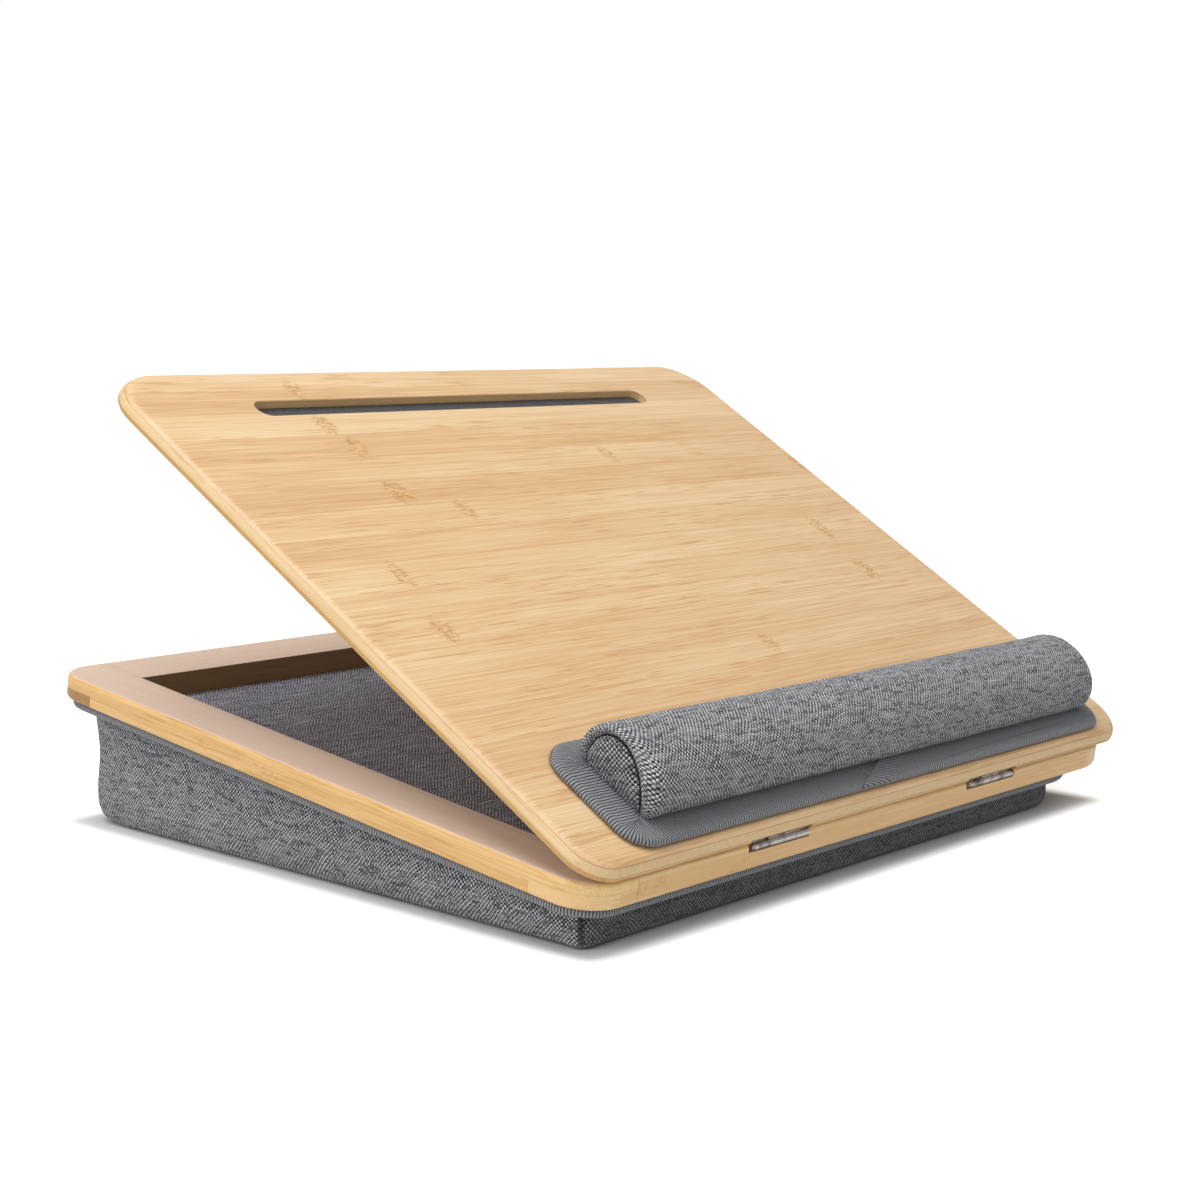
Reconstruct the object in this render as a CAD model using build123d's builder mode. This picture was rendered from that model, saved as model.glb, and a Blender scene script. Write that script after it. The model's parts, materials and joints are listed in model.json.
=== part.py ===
from build123d import *
import os
from math import cos, radians, sin

os.makedirs("parts", exist_ok=True)

# ---- Driving dimensions, millimetres ----
desk_width = 440.0
frame_depth = 356.0
frame_thickness = 12.0
side_rail_width = 30.0
end_rail_width = 32.0
lap_depth = 6.0            # upper half of each corner joint
corner_radius = 20.0
frame_front_right_corner = 42.0
frame_top_round = 2.5
frame_bottom_round = 2.0

front_height = 30.5        # front top edge of the frame above the floor
desk_tilt = 7.3            # degrees, frame falls towards the user
lid_opening = 23.1         # degrees between frame and lid as drawn

lid_depth = 368.0
bottom_ply = 2.7
core_ply = 3.2
top_ply = 1.4
lid_round = 5.8
lid_front_left_corner = 18.0
lid_front_right_corner = 24.0
lid_back_left_corner = 32.0
lid_back_right_corner = 28.0
lid_under_round = 1.4
lid_gap = 0.15             # closed lid above the frame
lid_setback = 0.63         # closed lid's front behind the frame's

slot_length = 295.0
slot_width = 13.0
slot_from_back = 35.3      # lid's back edge to the slot's middle
slot_arris = 0.6
backing_margin = 7.0       # backing strip beyond the slot, all round
backing_corner = 6.0
backing_play = 0.15
backing_recess = 0.2

hinge_length = 40.0
hinge_spacing = 175.0
hinge_shift = -5.2         # the pair sits this far off the middle
axis_back = 1.3            # hinge axis behind the frame's front face
axis_drop = 1.9            # hinge axis below the frame's top
barrel_radius = 1.9
barrel_play = 0.15         # groove in the frame beyond the barrel
notch_height = 2.5         # notch in the lid over the barrel, above the parting plane
bore_radius = 0.85
pin_radius = 0.8
pin_head_radius = 1.4
pin_head_height = 0.8
outer_knuckle = 10.2
knuckle_gap = 0.25
leaf_thickness = 1.0
leaf_reach = 15.0          # leaf behind the front face
leaf_gap = 0.1             # leaf face to the parting plane
leaf_edge_gap = 0.3        # leaf edge clear of the other leaf's knuckle
neck_width = 1.5           # joins the lid leaf to its knuckle
neck_drop = 0.6
leaf_corner = 1.5
mortise_left_play = 3.7    # mortise beyond the leaf, at the pin head's end
mortise_right_play = 0.6
mortise_back_play = 0.3

screw_count = 3
screw_spacing = 13.0
screw_inset = 9.4          # screw row behind the front face
screw_length = 5.5
screw_radius = 1.2
screw_head_radius = 2.3
screw_head_height = 0.85
screw_point = 1.6
screw_play = 0.03
screw_recess = 0.05        # head below the leaf's face
driver_slot_length = 2.6
driver_slot_width = 0.5
driver_slot_depth = 0.45

pad_left_inset = 3.0       # padded base inside the frame's outline
pad_right_inset = 24.0
pad_end_inset = 3.0
pad_thickness = 4.0
pad_front_left_corner = 18.0
pad_front_right_corner = 47.0
pad_back_corner = 30.0
tape_wall = 0.8
tape_lip = 0.4
tape_lip_width = 9.0
tape_play = 0.2
floor_cloth_thickness = 0.5

cushion_inset = 6.5        # cushion inside the padded base's outline
cushion_seat = 0.3
cushion_bottom_round = 7.0
cushion_front_left_corner = 10.0
cloth_thickness = 1.5
foam_play = 0.3

wrist_width = 387.0
wrist_depth = 65.2
wrist_shift = 2.7          # wrist rest's base off the middle
wrist_front_inset = 6.0    # behind the lid's front edge
wrist_corner = 14.0
wrist_thickness = 3.0
tape_strip_thickness = 0.4
tape_strip_width = 18.0
tape_strip_end_inset = 12.0
tape_strip_side_inset = 8.0
roll_length = 364.0
roll_shift = 6.0           # roll off the lid's middle
roll_front_lip = 9.7
roll_half_width = 24.2
roll_half_height = 18.9
roll_belly = 8.4           # widest line of the roll above its base
roll_seat = 0.3
roll_cloth = 1.2

# ---- Derived frame of the desk ----
lean = radians(desk_tilt)
rise = radians(desk_tilt + lid_opening)
lid_thickness = bottom_ply + core_ply + top_ply
lid_top = lid_gap + lid_thickness
front_reach = (lid_round - axis_back * cos(lean) - axis_drop * sin(lean)
               - (lid_setback + lid_round - axis_back) * cos(rise)
               + (lid_top - lid_round + axis_drop) * sin(rise))
back_reach = ((frame_depth - frame_bottom_round) * cos(lean)
              + (frame_thickness - frame_bottom_round) * sin(lean) + frame_bottom_round)
front_y = (front_reach - back_reach) / 2

desk = Plane(origin=(0, front_y, front_height), x_dir=(1, 0, 0), z_dir=(0, -sin(lean), cos(lean)))
hinge_axis = desk.from_local_coords((0, axis_back, -axis_drop))
lid_normal = Vector(0, -sin(rise), cos(rise))
lid_back = Vector(0, cos(rise), sin(rise))
lid = Plane(origin=hinge_axis - lid_back * axis_back + lid_normal * axis_drop, x_dir=(1, 0, 0), z_dir=lid_normal)
desk_up = Axis((0, 0, 0), desk.z_dir)
lid_up = Axis((0, 0, 0), lid.z_dir)
spare = 5.0                # cutters run this far past what they cut
hinge_centres = [hinge_shift - hinge_spacing / 2, hinge_shift + hinge_spacing / 2]
leaf_start = axis_back + barrel_radius + leaf_edge_gap


def save(part, name):
    """Label a finished piece and write its file."""
    part.label = name
    export_step(part, f"parts/{name}.step")


def slab(plane, x_low, x_high, y_low, y_high, z_low, z_high, mode):
    """Box between two corners of a plane's own axes."""
    with BuildSketch(plane.offset(z_low)) as base:
        with Locations(((x_low + x_high) / 2, (y_low + y_high) / 2)):
            Rectangle(x_high - x_low, y_high - y_low)
    extrude(base.sketch, amount=z_high - z_low, mode=mode)


# ---- Base frame: four bamboo rails, half-lapped at the corners ----
with BuildPart() as frame_blank:
    with BuildSketch(desk.offset(-frame_thickness)) as frame_outline:
        with Locations((0, frame_depth / 2)):
            Rectangle(desk_width, frame_depth)
        fillet(frame_outline.vertices().group_by(Axis.Y)[-1], corner_radius)
        fillet(frame_outline.vertices().group_by(Axis.Y)[0].sort_by(Axis.X)[0], corner_radius)
        fillet(frame_outline.vertices().group_by(Axis.Y)[0].sort_by(Axis.X)[-1], frame_front_right_corner)
    extrude(amount=frame_thickness)
    fillet(frame_blank.edges().group_by(desk_up)[-1], frame_top_round)
    fillet(frame_blank.edges().group_by(desk_up)[0], frame_bottom_round)
    with BuildSketch(desk.offset(-frame_thickness - spare)):
        with Locations((0, frame_depth / 2)):
            Rectangle(desk_width - 2 * side_rail_width, frame_depth - 2 * end_rail_width)
    extrude(amount=frame_thickness + 2 * spare, mode=Mode.SUBTRACT)

half_width = desk_width / 2
joint_x = half_width - side_rail_width
below = -frame_thickness - spare


def hinge_mortise(centre):
    """Recess for one leaf, its barrel and its screw holes, cut from the front rail's top."""
    left = centre - hinge_length / 2 - mortise_left_play
    right = centre + hinge_length / 2 + mortise_right_play
    slab(desk, left, right, -spare, leaf_reach + mortise_back_play,
         -leaf_gap - leaf_thickness, spare, Mode.SUBTRACT)
    slab(desk, left, right, -spare, axis_back + barrel_radius + barrel_play,
         -axis_drop - barrel_radius - barrel_play, spare, Mode.SUBTRACT)
    with BuildSketch(desk.offset(-leaf_gap - screw_recess - screw_length - screw_play)) as holes:
        with Locations((centre, screw_inset)):
            with GridLocations(screw_spacing, 1, screw_count, 1):
                Circle(screw_radius + screw_play)
    extrude(holes.sketch, amount=screw_length, mode=Mode.SUBTRACT)


for side, name in ((-1, "rail_left"), (1, "rail_right")):
    with BuildPart() as side_rail:
        add(frame_blank.part)
        inner = sorted((-side * (half_width + spare), side * joint_x))
        slab(desk, *inner, -spare, frame_depth + spare, below, spare, Mode.SUBTRACT)
        outer = sorted((side * (half_width + spare), side * (joint_x - spare)))
        for y_low, y_high in ((-spare, end_rail_width), (frame_depth - end_rail_width, frame_depth + spare)):
            slab(desk, *outer, y_low, y_high, below, -lap_depth, Mode.SUBTRACT)
    save(side_rail.part, name)

for name, keep_low, keep_high in (("rail_front", -spare, end_rail_width),
                                  ("rail_back", frame_depth - end_rail_width, frame_depth + spare)):
    with BuildPart() as end_rail:
        add(frame_blank.part)
        if name == "rail_front":
            slab(desk, -half_width - spare, half_width + spare, keep_high, frame_depth + spare,
                 below, spare, Mode.SUBTRACT)
        else:
            slab(desk, -half_width - spare, half_width + spare, -spare, keep_low,
                 below, spare, Mode.SUBTRACT)
        for side in (-1, 1):
            outer = sorted((side * (half_width + spare), side * joint_x))
            slab(desk, *outer, -spare, frame_depth + spare, -lap_depth, spare, Mode.SUBTRACT)
        if name == "rail_front":
            for centre in hinge_centres:
                hinge_mortise(centre)
    save(end_rail.part, name)


# ---- Padded base: stiff floor board, its cloth and the ribbed tape round its edge ----
pad_left = -half_width + pad_left_inset
pad_right = half_width - pad_right_inset
pad_front = pad_end_inset
pad_back = frame_depth - pad_end_inset
pad_top = -frame_thickness
pad_bottom = -frame_thickness - pad_thickness


def pad_outline(height, inset, front_left):
    """Outline of the padded base, drawn in from its edge, with its own front left corner."""
    with BuildSketch(desk.offset(height)) as outline:
        with Locations(((pad_left + pad_right) / 2, (pad_front + pad_back) / 2)):
            Rectangle(pad_right - pad_left - 2 * inset, pad_back - pad_front - 2 * inset)
        fillet(outline.vertices().group_by(Axis.Y)[-1], pad_back_corner - inset)
        fillet(outline.vertices().group_by(Axis.Y)[0].sort_by(Axis.X)[0], front_left - inset)
        fillet(outline.vertices().group_by(Axis.Y)[0].sort_by(Axis.X)[-1], pad_front_right_corner - inset)
    return outline.sketch


board_inset = tape_wall + tape_play
core_thickness = pad_thickness - 2 * tape_lip
with BuildPart() as floor_board:
    board_outline = pad_outline(pad_bottom + tape_lip, board_inset, pad_front_left_corner)
    extrude(board_outline, amount=core_thickness - floor_cloth_thickness)
save(floor_board.part, "floor_board")

with BuildPart() as floor_cloth:
    cloth_underside = pad_top - tape_lip - floor_cloth_thickness
    extrude(pad_outline(cloth_underside, board_inset, pad_front_left_corner), amount=floor_cloth_thickness)
save(floor_cloth.part, "floor_cloth")

with BuildPart() as base_binding:
    extrude(pad_outline(pad_bottom, 0, pad_front_left_corner), amount=pad_thickness)
    channel = pad_outline(pad_bottom + tape_lip, tape_wall, pad_front_left_corner)
    extrude(channel, amount=core_thickness, mode=Mode.SUBTRACT)
    window = pad_outline(pad_bottom - spare, tape_lip_width, pad_front_left_corner)
    extrude(window, amount=pad_thickness + 2 * spare, mode=Mode.SUBTRACT)
save(base_binding.part, "base_binding")


# ---- Wedge cushion: sewn cover round a foam core, flat on the floor ----
def wedge(inset, lift, drop):
    """Cushion shape drawn in from its cover's outside, off the floor and down from its seat."""
    from_pad = cushion_inset + inset
    past_floor = front_height + frame_depth
    seat = pad_outline(pad_bottom - cushion_seat - drop, from_pad, cushion_front_left_corner + cushion_inset)
    with BuildPart() as block:
        extrude(seat, amount=past_floor, dir=(0, 0, -1))
        split(bisect_by=Plane.XY.offset(lift), keep=Keep.TOP)
        fillet(block.edges().group_by(Axis.Z)[0], cushion_bottom_round - inset)
    return block.part


with BuildPart() as cushion_cover:
    add(wedge(0, 0, 0))
    add(wedge(cloth_thickness, cloth_thickness, cloth_thickness), mode=Mode.SUBTRACT)
save(cushion_cover.part, "cushion_cover")

with BuildPart() as cushion_core:
    add(wedge(cloth_thickness + foam_play, cloth_thickness + foam_play, cloth_thickness + foam_play))
save(cushion_core.part, "cushion_core")


# ---- Lid: three-ply bamboo board with a media slot ----
slot_middle = lid_setback + lid_depth - slot_from_back
with BuildPart() as lid_blank:
    with BuildSketch(lid.offset(lid_gap)) as lid_outline:
        with Locations((0, lid_setback + lid_depth / 2)):
            Rectangle(desk_width, lid_depth)
        fillet(lid_outline.vertices().group_by(Axis.Y)[-1].sort_by(Axis.X)[0], lid_back_left_corner)
        fillet(lid_outline.vertices().group_by(Axis.Y)[-1].sort_by(Axis.X)[-1], lid_back_right_corner)
        fillet(lid_outline.vertices().group_by(Axis.Y)[0].sort_by(Axis.X)[0], lid_front_left_corner)
        fillet(lid_outline.vertices().group_by(Axis.Y)[0].sort_by(Axis.X)[-1], lid_front_right_corner)
    extrude(amount=lid_thickness)
    fillet(lid_blank.edges().group_by(lid_up)[-1], lid_round)
    fillet(lid_blank.edges().group_by(lid_up)[0], lid_under_round)
    with BuildSketch(lid.offset(lid_gap - spare)):
        with Locations((0, slot_middle)):
            SlotOverall(slot_length, slot_width)
    extrude(amount=lid_thickness + 2 * spare, mode=Mode.SUBTRACT)
    slot_rim = lid_blank.faces().sort_by(lid_up)[-1].inner_wires()[0].edges()
    fillet(slot_rim, slot_arris)


def lid_pocket(centre):
    """Recess for one leaf, its barrel and its screw holes, cut from the lid's underside."""
    left = centre - hinge_length / 2 - mortise_left_play
    right = centre + hinge_length / 2 + mortise_right_play
    slab(lid, left, right, -spare, leaf_reach + mortise_back_play,
         -spare, leaf_gap + leaf_thickness, Mode.SUBTRACT)
    slab(lid, left, right, -spare, axis_back + barrel_radius + barrel_play,
         -spare, notch_height, Mode.SUBTRACT)
    with BuildSketch(lid.offset(leaf_gap + leaf_thickness - spare)) as holes:
        with Locations((centre, screw_inset)):
            with GridLocations(screw_spacing, 1, screw_count, 1):
                Circle(screw_radius + screw_play)
    hole_top = leaf_gap + screw_recess + screw_length + screw_play
    extrude(holes.sketch, amount=hole_top - leaf_gap - leaf_thickness + spare, mode=Mode.SUBTRACT)


backing_length = slot_length + 2 * backing_margin
backing_width = slot_width + 2 * backing_margin
ply_floor = lid_gap
for name, thickness in (("lid_bottom_ply", bottom_ply), ("lid_core_ply", core_ply), ("lid_top_ply", top_ply)):
    with BuildPart() as ply:
        add(lid_blank.part)
        split(bisect_by=lid.offset(ply_floor), keep=Keep.TOP)
        split(bisect_by=lid.offset(ply_floor + thickness), keep=Keep.BOTTOM)
        for centre in hinge_centres:
            lid_pocket(centre)
        if name == "lid_bottom_ply":
            with BuildSketch(lid.offset(lid_gap - spare)):
                with Locations((0, slot_middle)):
                    RectangleRounded(backing_length, backing_width, backing_corner)
            extrude(amount=bottom_ply + spare, mode=Mode.SUBTRACT)
    save(ply.part, name)
    ply_floor += thickness

with BuildPart() as slot_backing:
    with BuildSketch(lid.offset(lid_gap + backing_recess)):
        with Locations((0, slot_middle)):
            RectangleRounded(backing_length - 2 * backing_play, backing_width - 2 * backing_play,
                             backing_corner - backing_play)
    extrude(amount=bottom_ply - backing_recess)
save(slot_backing.part, "slot_backing")


# ---- Hinge screws: countersunk heads, flush in the leaves ----
def screw_seat(plane, centre, upward):
    """Plane on a leaf's face at the middle of its screw row, its Z out of the screw heads."""
    return Plane(plane.from_local_coords((centre, screw_inset, upward * (leaf_gap + screw_recess))),
                 x_dir=(1, 0, 0), z_dir=plane.z_dir * -upward)


with BuildPart() as screw:
    with BuildSketch(Plane.XZ):
        with BuildLine():
            Polyline((0, 0), (screw_head_radius, 0), (screw_radius, -screw_head_height),
                     (screw_radius, -screw_length + screw_point), (0, -screw_length), close=True)
        make_face()
    revolve(axis=Axis.Z)
    with BuildSketch():
        Rectangle(driver_slot_length, driver_slot_width)
        Rectangle(driver_slot_width, driver_slot_length)
    extrude(amount=-driver_slot_depth, mode=Mode.SUBTRACT)

with BuildPart(mode=Mode.PRIVATE) as hole_tool:
    head_hole_radius = screw_head_radius + screw_play
    shank_hole_radius = screw_radius + screw_play
    with BuildSketch(Plane.XZ):
        with BuildLine():
            Polyline((0, spare), (head_hole_radius, spare), (head_hole_radius, 0),
                     (shank_hole_radius, -screw_head_height), (shank_hole_radius, -screw_length),
                     (0, -screw_length), close=True)
        make_face()
    revolve(axis=Axis.Z)
screw_hole = hole_tool.part


# ---- Hinges: two steel butt hinges, barrels let into the frame's front edge ----
centre_knuckle = hinge_length - 2 * outer_knuckle


def leaf(plane, centre, upward, knuckles):
    """One leaf with its knuckles; upward is 1 for the lid's leaf and -1 for the frame's."""
    near, far = upward * leaf_gap, upward * (leaf_gap + leaf_thickness)
    low, high = min(near, far), max(near, far)
    half_length = hinge_length / 2
    left, right = centre - half_length, centre + half_length
    with BuildPart() as piece:
        slab(plane, left, right, leaf_start, leaf_reach, low, high, Mode.ADD)
        back_corners = piece.edges().filter_by(Axis((0, 0, 0), plane.z_dir))
        fillet(back_corners.group_by(Axis((0, 0, 0), plane.y_dir))[-1], leaf_corner)
        for start, end in knuckles:
            slab(plane, centre + start, centre + end, axis_back, leaf_start, low, high, Mode.ADD)
            if upward > 0:
                slab(plane, centre + start, centre + end, axis_back, axis_back + neck_width,
                     -neck_drop, high, Mode.ADD)
            end_plane = Plane(plane.from_local_coords((centre + start, axis_back, -axis_drop)),
                              x_dir=plane.y_dir, z_dir=(1, 0, 0))
            with BuildSketch(end_plane):
                Circle(barrel_radius)
            extrude(amount=end - start)
        bore_plane = Plane(plane.from_local_coords((left - spare, axis_back, -axis_drop)),
                           x_dir=plane.y_dir, z_dir=(1, 0, 0))
        with BuildSketch(bore_plane):
            Circle(bore_radius)
        extrude(amount=hinge_length + 2 * spare, mode=Mode.SUBTRACT)
        with Locations(screw_seat(plane, centre, upward)):
            with GridLocations(screw_spacing, 1, screw_count, 1):
                add(screw_hole, mode=Mode.SUBTRACT)
    return piece.part


for number, centre in enumerate(hinge_centres, start=1):
    outer_pair = ((-hinge_length / 2, -centre_knuckle / 2), (centre_knuckle / 2, hinge_length / 2))
    middle = ((-centre_knuckle / 2 + knuckle_gap, centre_knuckle / 2 - knuckle_gap),)
    save(leaf(desk, centre, -1, outer_pair), f"hinge_{number}_base_leaf")
    save(leaf(lid, centre, 1, middle), f"hinge_{number}_lid_leaf")
    with BuildPart() as pin:
        pin_end = desk.from_local_coords((centre - hinge_length / 2, axis_back, -axis_drop))
        with BuildSketch(Plane(pin_end, x_dir=desk.y_dir, z_dir=(1, 0, 0))):
            Circle(pin_radius)
        extrude(amount=hinge_length)
        with BuildSketch(Plane(pin_end, x_dir=desk.y_dir, z_dir=(-1, 0, 0))):
            Circle(pin_head_radius)
        extrude(amount=pin_head_height)
        fillet(pin.edges().sort_by(Axis.X)[0], pin_head_height / 2)
    save(pin.part, f"hinge_{number}_pin")

for name, plane, upward in (("base_leaf_screws", desk, -1), ("lid_leaf_screws", lid, 1)):
    with BuildPart() as screws:
        for centre in hinge_centres:
            with Locations(screw_seat(plane, centre, upward)):
                with GridLocations(screw_spacing, 1, screw_count, 1):
                    add(screw.part)
    save(screws.part, name)


# ---- Wrist rest: base board with ribbed tape, padded roll on top ----
wrist_floor = lid_top + tape_strip_thickness
wrist_front = lid_setback + wrist_front_inset
wrist_middle = wrist_front + wrist_depth / 2


def wrist_outline(height, inset):
    """Outline of the wrist rest's base, drawn in from its edge."""
    with BuildSketch(lid.offset(height)) as outline:
        with Locations((wrist_shift, wrist_middle)):
            RectangleRounded(wrist_width - 2 * inset, wrist_depth - 2 * inset, wrist_corner - inset)
    return outline.sketch


with BuildPart() as wrist_strips:
    with BuildSketch(lid.offset(lid_top)):
        gap = wrist_depth - 2 * tape_strip_side_inset - tape_strip_width
        with Locations((wrist_shift, wrist_middle)):
            with GridLocations(1, gap, 1, 2):
                Rectangle(wrist_width - 2 * tape_strip_end_inset, tape_strip_width)
    extrude(amount=tape_strip_thickness)
save(wrist_strips.part, "wrist_adhesive_strips")

with BuildPart() as wrist_binding:
    extrude(wrist_outline(wrist_floor, 0), amount=wrist_thickness)
    channel = wrist_outline(wrist_floor + tape_lip, tape_wall)
    extrude(channel, amount=wrist_thickness - 2 * tape_lip, mode=Mode.SUBTRACT)
    window = wrist_outline(wrist_floor - spare, tape_lip_width)
    extrude(window, amount=wrist_thickness + 2 * spare, mode=Mode.SUBTRACT)
save(wrist_binding.part, "wrist_binding")

with BuildPart() as wrist_base:
    extrude(wrist_outline(wrist_floor + tape_lip, board_inset), amount=wrist_thickness - 2 * tape_lip)
save(wrist_base.part, "wrist_base")

roll_floor = wrist_floor + wrist_thickness + roll_seat
roll_middle = wrist_front + roll_front_lip + roll_half_width


def roll(inset, length):
    """Half-round roll drawn in from its cover's outside."""
    start = roll_shift - length / 2
    section = Plane(lid.from_local_coords((start, roll_middle, roll_floor)), x_dir=lid.y_dir, z_dir=(1, 0, 0))
    with BuildPart() as body:
        with BuildSketch(section):
            with Locations((0, roll_belly)):
                Ellipse(roll_half_width - inset, roll_half_height - inset)
            with Locations((0, inset - roll_half_height)):
                Rectangle(4 * roll_half_width, 2 * roll_half_height, mode=Mode.SUBTRACT)
        extrude(amount=length)
    return body.part


tube_length = roll_length - 2 * roll_cloth
with BuildPart() as wrist_cover:
    add(roll(0, tube_length))
    add(roll(roll_cloth, tube_length + 2 * spare), mode=Mode.SUBTRACT)
save(wrist_cover.part, "wrist_cover")

with BuildPart() as wrist_core:
    add(roll(roll_cloth + foam_play, tube_length - 2 * foam_play))
save(wrist_core.part, "wrist_core")

for side, name in ((-1, "wrist_end_left"), (1, "wrist_end_right")):
    with BuildPart() as wrist_end:
        add(roll(0, roll_length))
        cut = roll_shift + side * (tube_length / 2)
        span = sorted((cut, roll_shift - side * (roll_length / 2 + spare)))
        slab(lid, *span, 0, lid_depth, wrist_floor, roll_floor + 2 * roll_half_height, Mode.SUBTRACT)
    save(wrist_end.part, name)
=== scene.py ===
import json
import math
import bmesh
import bpy
from mathutils import Matrix, Quaternion, Vector
from mathutils import noise as ripple


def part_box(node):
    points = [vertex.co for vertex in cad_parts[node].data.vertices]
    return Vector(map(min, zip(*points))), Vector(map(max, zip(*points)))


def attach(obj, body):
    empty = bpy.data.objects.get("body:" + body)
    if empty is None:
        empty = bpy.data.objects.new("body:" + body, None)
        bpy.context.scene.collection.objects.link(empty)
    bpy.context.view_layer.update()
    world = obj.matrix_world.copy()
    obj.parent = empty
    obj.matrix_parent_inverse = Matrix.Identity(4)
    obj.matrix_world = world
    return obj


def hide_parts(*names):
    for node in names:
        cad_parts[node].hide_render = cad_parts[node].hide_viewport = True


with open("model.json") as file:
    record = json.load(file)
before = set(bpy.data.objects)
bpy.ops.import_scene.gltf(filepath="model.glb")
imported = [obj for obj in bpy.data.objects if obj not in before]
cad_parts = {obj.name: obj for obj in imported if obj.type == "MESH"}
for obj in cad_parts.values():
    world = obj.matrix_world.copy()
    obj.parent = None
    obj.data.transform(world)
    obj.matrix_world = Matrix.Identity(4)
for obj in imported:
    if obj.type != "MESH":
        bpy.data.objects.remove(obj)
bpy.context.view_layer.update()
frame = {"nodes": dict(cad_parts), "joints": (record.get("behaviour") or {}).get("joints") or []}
nodes = frame["nodes"]
mm = 0.001
print("frame loaded:", len(nodes), "nodes")

# ---- the two tilted planes that everything is laid out on ----
lean = math.radians(7.3)
hinge = frame["joints"][0]
opening = math.radians(-hinge["range_deg"][0])
hingeLine = Matrix.Translation(hinge["pos_m"])
ontoEdge = Matrix.Translation((0, -1.3 * mm, 1.9 * mm))    # hinge line sits inside the frame's front top edge
deskPlace = hingeLine @ Matrix.Rotation(lean, 4, "X") @ ontoEdge
lidPlace = hingeLine @ Matrix.Rotation(lean + opening, 4, "X") @ ontoEdge
deskScaled = deskPlace @ Matrix.Scale(mm, 4)         # the same planes, laid out in millimetres
lidScaled = lidPlace @ Matrix.Scale(mm, 4)
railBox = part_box("rail_front")
halfDesk = (railBox[1].x - railBox[0].x) / 2


# ---- shader helpers ----
def shade(red, green, blue):                         # screen colour, 0 to 255, as the shader wants it
    channels = [c / 255 for c in (red, green, blue)]
    return tuple(c / 12.92 if c < 0.04 else ((c + 0.055) / 1.055) ** 2.4 for c in channels) + (1,)


def wire(tree, node, wires):                         # a node's inputs, given as values or as sockets
    for key, value in wires.items():
        if isinstance(value, bpy.types.NodeSocket):
            tree.links.new(value, node.inputs[key])
        else:
            node.inputs[key].default_value = value


def put(tree, kind, wires=None, **settings):
    node = tree.nodes.new(kind)
    for name, value in settings.items():
        setattr(node, name, value)
    wire(tree, node, wires or {})
    return node


def calc(tree, operation, *values):
    return put(tree, "ShaderNodeMath", dict(enumerate(values)), operation=operation).outputs[0]


def times(tree, first, second):
    return calc(tree, "MULTIPLY", first, second)


def plus(tree, first, second):
    return calc(tree, "ADD", first, second)


def minus(tree, first, second):
    return calc(tree, "SUBTRACT", first, second)


def vectorCalc(tree, operation, *values):
    return put(tree, "ShaderNodeVectorMath", dict(enumerate(values)), operation=operation).outputs


def axesOf(tree, vector):
    return put(tree, "ShaderNodeSeparateXYZ", {0: vector}).outputs


def objectSpot(tree):
    return put(tree, "ShaderNodeTexCoord").outputs["Object"]


def spread(tree, value, low, high, toLow=0.0, toHigh=1.0):
    wires = {0: value, 1: low, 2: high, 3: toLow, 4: toHigh}
    return put(tree, "ShaderNodeMapRange", wires, interpolation_type="SMOOTHSTEP").outputs[0]


def blendColour(tree, factor, first, second, mode="MIX"):
    node = put(tree, "ShaderNodeMix", {0: factor, 6: first, 7: second}, data_type="RGBA", blend_type=mode)
    return node.outputs[2]


def cloud(tree, vector, detail=2.0, rough=0.5):
    wires = {"Vector": vector, "Scale": 1.0, "Detail": detail, "Roughness": rough}
    return put(tree, "ShaderNodeTexNoise", wires).outputs["Fac"]


def stretch(tree, parts, factors):                   # a vector from x, y, z sockets, each times its factor
    wires = {}
    for i, (part, factor) in enumerate(zip(parts, factors)):
        wires[i] = times(tree, part, factor)
    return put(tree, "ShaderNodeCombineXYZ", wires).outputs[0]


def startGroup(name, inputs, outputs):
    tree = bpy.data.node_groups.new(name, "ShaderNodeTree")
    for label, kind, value in inputs:
        socket = tree.interface.new_socket(label, in_out="INPUT", socket_type="NodeSocket" + kind)
        socket.default_value = value
    for label, kind in outputs:
        tree.interface.new_socket(label, in_out="OUTPUT", socket_type="NodeSocket" + kind)
    return tree, tree.nodes.new("NodeGroupInput").outputs, tree.nodes.new("NodeGroupOutput").inputs


def useGroup(tree, group, wires):
    return put(tree, "ShaderNodeGroup", wires, node_tree=group).outputs


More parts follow.
